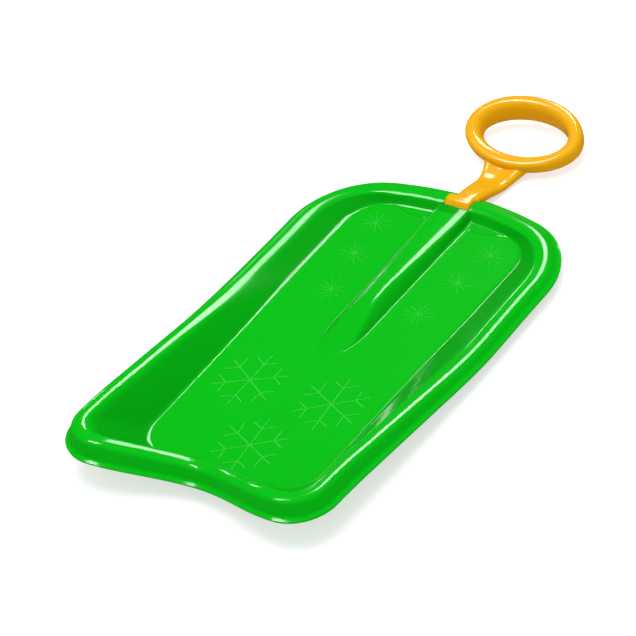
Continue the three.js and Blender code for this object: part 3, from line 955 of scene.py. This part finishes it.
def snowflake_tree(name, branches):
    """A tree that sets a snowflake at each point: arms round the middle, with paired branches.

    branches are (place along the arm, branch length) as shares of the arm.
    """
    tree = bpy.data.node_groups.new(name, "GeometryNodeTree")
    for label, kind in (("Centres", "Geometry"), ("Arm Length", "Float"), ("Arms", "Int"),
                        ("Line Width", "Float"), ("Line Height", "Float"),
                        ("Branch Turn", "Float"), ("Finish", "Material")):
        tree.interface.new_socket(name=label, in_out="INPUT", socket_type="NodeSocket" + kind)
    tree.interface.new_socket(name="Snowflakes", in_out="OUTPUT", socket_type="NodeSocketGeometry")
    source = node(tree, "NodeGroupInput").outputs

    def maths(operation, a, b=0):
        return node(tree, "ShaderNodeMath", {0: a, 1: b}, operation=operation).outputs[0]

    def vector(**parts):
        return node(tree, "ShaderNodeCombineXYZ", parts).outputs[0]

    def line(start, end):
        ends = {"Start": start, "End": end}
        return node(tree, "GeometryNodeCurvePrimitiveLine", ends).outputs["Curve"]

    arm_length = source["Arm Length"]
    arm = node(tree, "GeometryNodeJoinGeometry")
    feed(arm, {0: line(vector(), vector(X=arm_length))})
    turn_cos = maths("COSINE", source["Branch Turn"])
    turn_sin = maths("SINE", source["Branch Turn"])
    for place_share, length_share in branches:
        root = maths("MULTIPLY", arm_length, place_share)
        length = maths("MULTIPLY", arm_length, length_share)
        tip_x = maths("ADD", root, maths("MULTIPLY", length, turn_cos))
        reach = maths("MULTIPLY", length, turn_sin)
        for way in (1, -1):
            tip = vector(X=tip_x, Y=maths("MULTIPLY", reach, way))
            feed(arm, {0: line(vector(X=root), tip)})

    hub = node(tree, "GeometryNodePoints", {"Count": source["Arms"]})
    step = maths("DIVIDE", 2 * math.pi, source["Arms"])
    index = node(tree, "GeometryNodeInputIndex").outputs[0]
    arms = node(tree, "GeometryNodeInstanceOnPoints", {
        "Points": hub.outputs[0], "Instance": arm.outputs[0],
        "Rotation": vector(Z=maths("MULTIPLY", index, step)),
    })
    turn = node(tree, "GeometryNodeInputNamedAttribute", {"Name": "turn"}, data_type="FLOAT")
    flakes = node(tree, "GeometryNodeInstanceOnPoints", {
        "Points": source["Centres"], "Instance": arms.outputs[0],
        "Rotation": vector(Z=turn.outputs["Attribute"]),
    })
    real = node(tree, "GeometryNodeRealizeInstances", {0: flakes.outputs[0]})
    lines = node(tree, "GeometryNodeSetCurveNormal", {"Curve": real.outputs[0]}, mode="Z_UP")

    bead = node(tree, "GeometryNodeCurvePrimitiveCircle", {"Resolution": BEAD_SIDES, "Radius": 0.5})
    shaped = node(tree, "GeometryNodeTransform", {
        "Geometry": bead.outputs["Curve"],
        "Scale": vector(X=source["Line Width"], Y=maths("MULTIPLY", source["Line Height"], 2), Z=1),
    })
    beads = node(tree, "GeometryNodeCurveToMesh", {
        "Curve": lines.outputs["Curve"], "Profile Curve": shaped.outputs[0], "Fill Caps": True,
    })
    painted = node(tree, "GeometryNodeSetMaterial", {
        "Geometry": beads.outputs[0], "Material": source["Finish"],
    })
    final = node(tree, "GeometryNodeRealizeInstances", {0: painted.outputs[0]})
    node(tree, "NodeGroupOutput", {0: final.outputs[0]})
    return tree


def snowflakes(name, tree, places, inputs):
    """The relief at the given places on the floor, as one plain mesh."""
    piece = mesh_piece(name, [(x, y, FLOOR_TOP) for x, y, _ in places], [])
    turn = piece.data.attributes.new("turn", "FLOAT", "POINT")
    turn.data.foreach_set("value", [math.radians(degrees) for _, _, degrees in places])
    modifier = piece.modifiers.new("snowflakes", "NODES")
    modifier.node_group = tree
    sockets = {item.name: item.identifier for item in tree.interface.items_tree}
    for label, value in inputs.items():
        modifier[sockets[label]] = value
    return bake_modifiers(piece)


# Camera, stage and lamps


def towards_camera():
    return Vector((math.cos(CAMERA_ELEVATION) * math.sin(CAMERA_AZIMUTH),
                   -math.cos(CAMERA_ELEVATION) * math.cos(CAMERA_AZIMUTH),
                   math.sin(CAMERA_ELEVATION)))


def camera():
    """The photograph's camera, from its angles, its scale and the pixel of a point on the floor."""
    back = towards_camera()
    level = Vector((math.cos(CAMERA_AZIMUTH), math.sin(CAMERA_AZIMUTH), 0))
    upright = back.cross(level)
    right = math.cos(CAMERA_ROLL) * level + math.sin(CAMERA_ROLL) * upright
    up = math.cos(CAMERA_ROLL) * upright - math.sin(CAMERA_ROLL) * level
    middle = IMAGE_SIDE / 2
    place = (Vector((0, AIM_Y + TRAY_SHIFT, FLOOR_TOP)) + CAMERA_DISTANCE * back
             - (AIM_PIXEL[0] - middle) / PIXELS_PER_MM * right
             + (AIM_PIXEL[1] - middle) / PIXELS_PER_MM * up)
    lens = bpy.data.cameras.new("camera")
    lens.sensor_width = SENSOR_WIDTH
    lens.lens = SENSOR_WIDTH * PIXELS_PER_MM * CAMERA_DISTANCE / IMAGE_SIDE
    lens.clip_start, lens.clip_end = CAMERA_CLIP
    made = bpy.data.objects.new("camera", lens)
    turn = Matrix((right, up, back)).transposed()
    made.matrix_world = Matrix.Translation(place * MM) @ turn.to_4x4()
    bpy.context.scene.collection.objects.link(made)
    bpy.context.scene.camera = made


def sky():
    """Even light from all round, dimmer in the sled's gloss, and plain white to the camera."""
    world = bpy.data.worlds.new("studio")
    bpy.context.scene.world = world
    world.use_nodes = True
    tree = world.node_tree
    rays = node(tree, "ShaderNodeLightPath").outputs
    light = spread(tree, rays["Is Glossy Ray"], WORLD_LIGHT, WORLD_IN_GLOSS)
    feed(tree.nodes["Background"], {"Color": (1, 1, 1, 1),
                                    "Strength": spread(tree, rays["Is Camera Ray"], light, 1.0)})


def floor():
    """A pale floor that keeps the sled's shadow; its glow, for the camera alone, makes it white."""
    side = FLOOR_SIDE / 2
    piece = mesh_piece("floor", [(-side, -side, 0), (side, -side, 0), (side, side, 0),
                                 (-side, side, 0)], [(0, 1, 2, 3)])
    material = bpy.data.materials.new("studio_floor")
    material.use_nodes = True
    tree = material.node_tree
    tree.nodes.clear()
    paint = node(tree, "ShaderNodeBsdfDiffuse", {"Color": FLOOR_GREY})
    to_camera = node(tree, "ShaderNodeLightPath").outputs["Is Camera Ray"]
    share = node(tree, "ShaderNodeMath", {0: to_camera, 1: FLOOR_GLOW}, operation="MULTIPLY")
    glow = node(tree, "ShaderNodeEmission", {"Strength": share.outputs[0]})
    both = node(tree, "ShaderNodeAddShader", {0: paint.outputs[0], 1: glow.outputs[0]})
    node(tree, "ShaderNodeOutputMaterial", {"Surface": both.outputs[0]})
    piece.data.materials.append(material)
    piece.visible_glossy = False


def softbox(name, towards, along, length, width, radiance, gloss_only=False):
    """A lamp in a direction from the sled, facing it, with its length along another direction.

    It lights either the surfaces or, with gloss_only, just their gloss.
    """
    lamp = bpy.data.lights.new(name, "AREA")
    lamp.shape = "RECTANGLE"
    lamp.size = length
    lamp.size_y = width
    lamp.energy = radiance * math.pi * length * width
    made = bpy.data.objects.new(name, lamp)
    way = Vector(towards).normalized()
    side = way.cross(Vector(along)).normalized()
    turn = Matrix((side.cross(way), side, way)).transposed()
    made.matrix_world = Matrix.Translation(way * LAMP_DISTANCE) @ turn.to_4x4()
    made.visible_camera = False
    made.visible_diffuse = not gloss_only
    made.visible_glossy = gloss_only
    bpy.context.scene.collection.objects.link(made)


def lamp_for_tilt(x_tilt, y_tilt):
    """The direction of the lamp that a face tilted by these degrees mirrors to the camera."""
    back = towards_camera()
    face = Vector((math.tan(math.radians(x_tilt)), math.tan(math.radians(y_tilt)), 1)).normalized()
    return 2 * face.dot(back) * face - back


def gloss_strip(name, low, high, width, radiance):
    """A strip lamp that lights the gloss of faces whose tilt lies between two (x, y) tilts."""
    first, last = lamp_for_tilt(*low), lamp_for_tilt(*high)
    length = (last - first).length * LAMP_DISTANCE
    softbox(name, first + last, last - first, length, width, radiance, gloss_only=True)


# Making


camera()
sky()
floor()
softbox("top_softbox", towards=(0, 0, 1), along=(1, 0, 0), length=4.4, width=4.4, radiance=3.5)
gloss_strip("main_gloss", low=(8.6, -2.5), high=(8.6, 11.5), width=1.25, radiance=50)
gloss_strip("rear_facing_gloss", low=(3.6, -12), high=(3.4, -26), width=1.0, radiance=70)
gloss_strip("left_facing_gloss", low=(-10.2, 0), high=(-12.0, 0), width=0.7, radiance=26)

# The tray's green, with painted shade on its walls, at most 0.3 darker
green = moulded_plastic("green_plastic", colour=(0.0024, 0.546, 0.0091), roughness=0.1,
                        specular=0.06, drift=0.06, painted_shade_strength=0.3)
yellow = moulded_plastic("yellow_plastic", colour=(0.982, 0.479, 0.0048), roughness=0.16,
                         specular=0.1, drift=0.05)
# The snowflakes' green is painted lighter than the tray's own green, a painted highlight for the
# light their raised lines catch
pale = moulded_plastic("green_relief", colour=(0.004, 0.605, 0.014), roughness=0.4,
                       specular=0.025, drift=0.06)
steel = pin_metal()

finish_piece(tray_shell(), green, "sled", "tray_plastic", "sled_shell")
finish_piece(pull_handle(), yellow, "handle", "handle_plastic", "pull_handle")

large = snowflake_tree("large_snowflake", [(0.62, 0.38)])
small = snowflake_tree("small_snowflake", [])
finish_piece(snowflakes("large_snowflakes", large, LARGE_PLACES, {**LARGE_SIZES, "Finish": pale}),
             pale, "sled", "tray_plastic")
finish_piece(snowflakes("small_snowflakes", small, SMALL_PLACES, {**SMALL_SIZES, "Finish": pale}),
             pale, "sled", "tray_plastic")

for part in ("hinge_pin", "pin_retainer"):
    for each in [o for o in bpy.data.objects if o.type == "MESH" and o.name.startswith(part)]:
        for slot in each.material_slots:
            slot.material = steel

bpy.context.scene.view_settings.view_transform = "Standard"
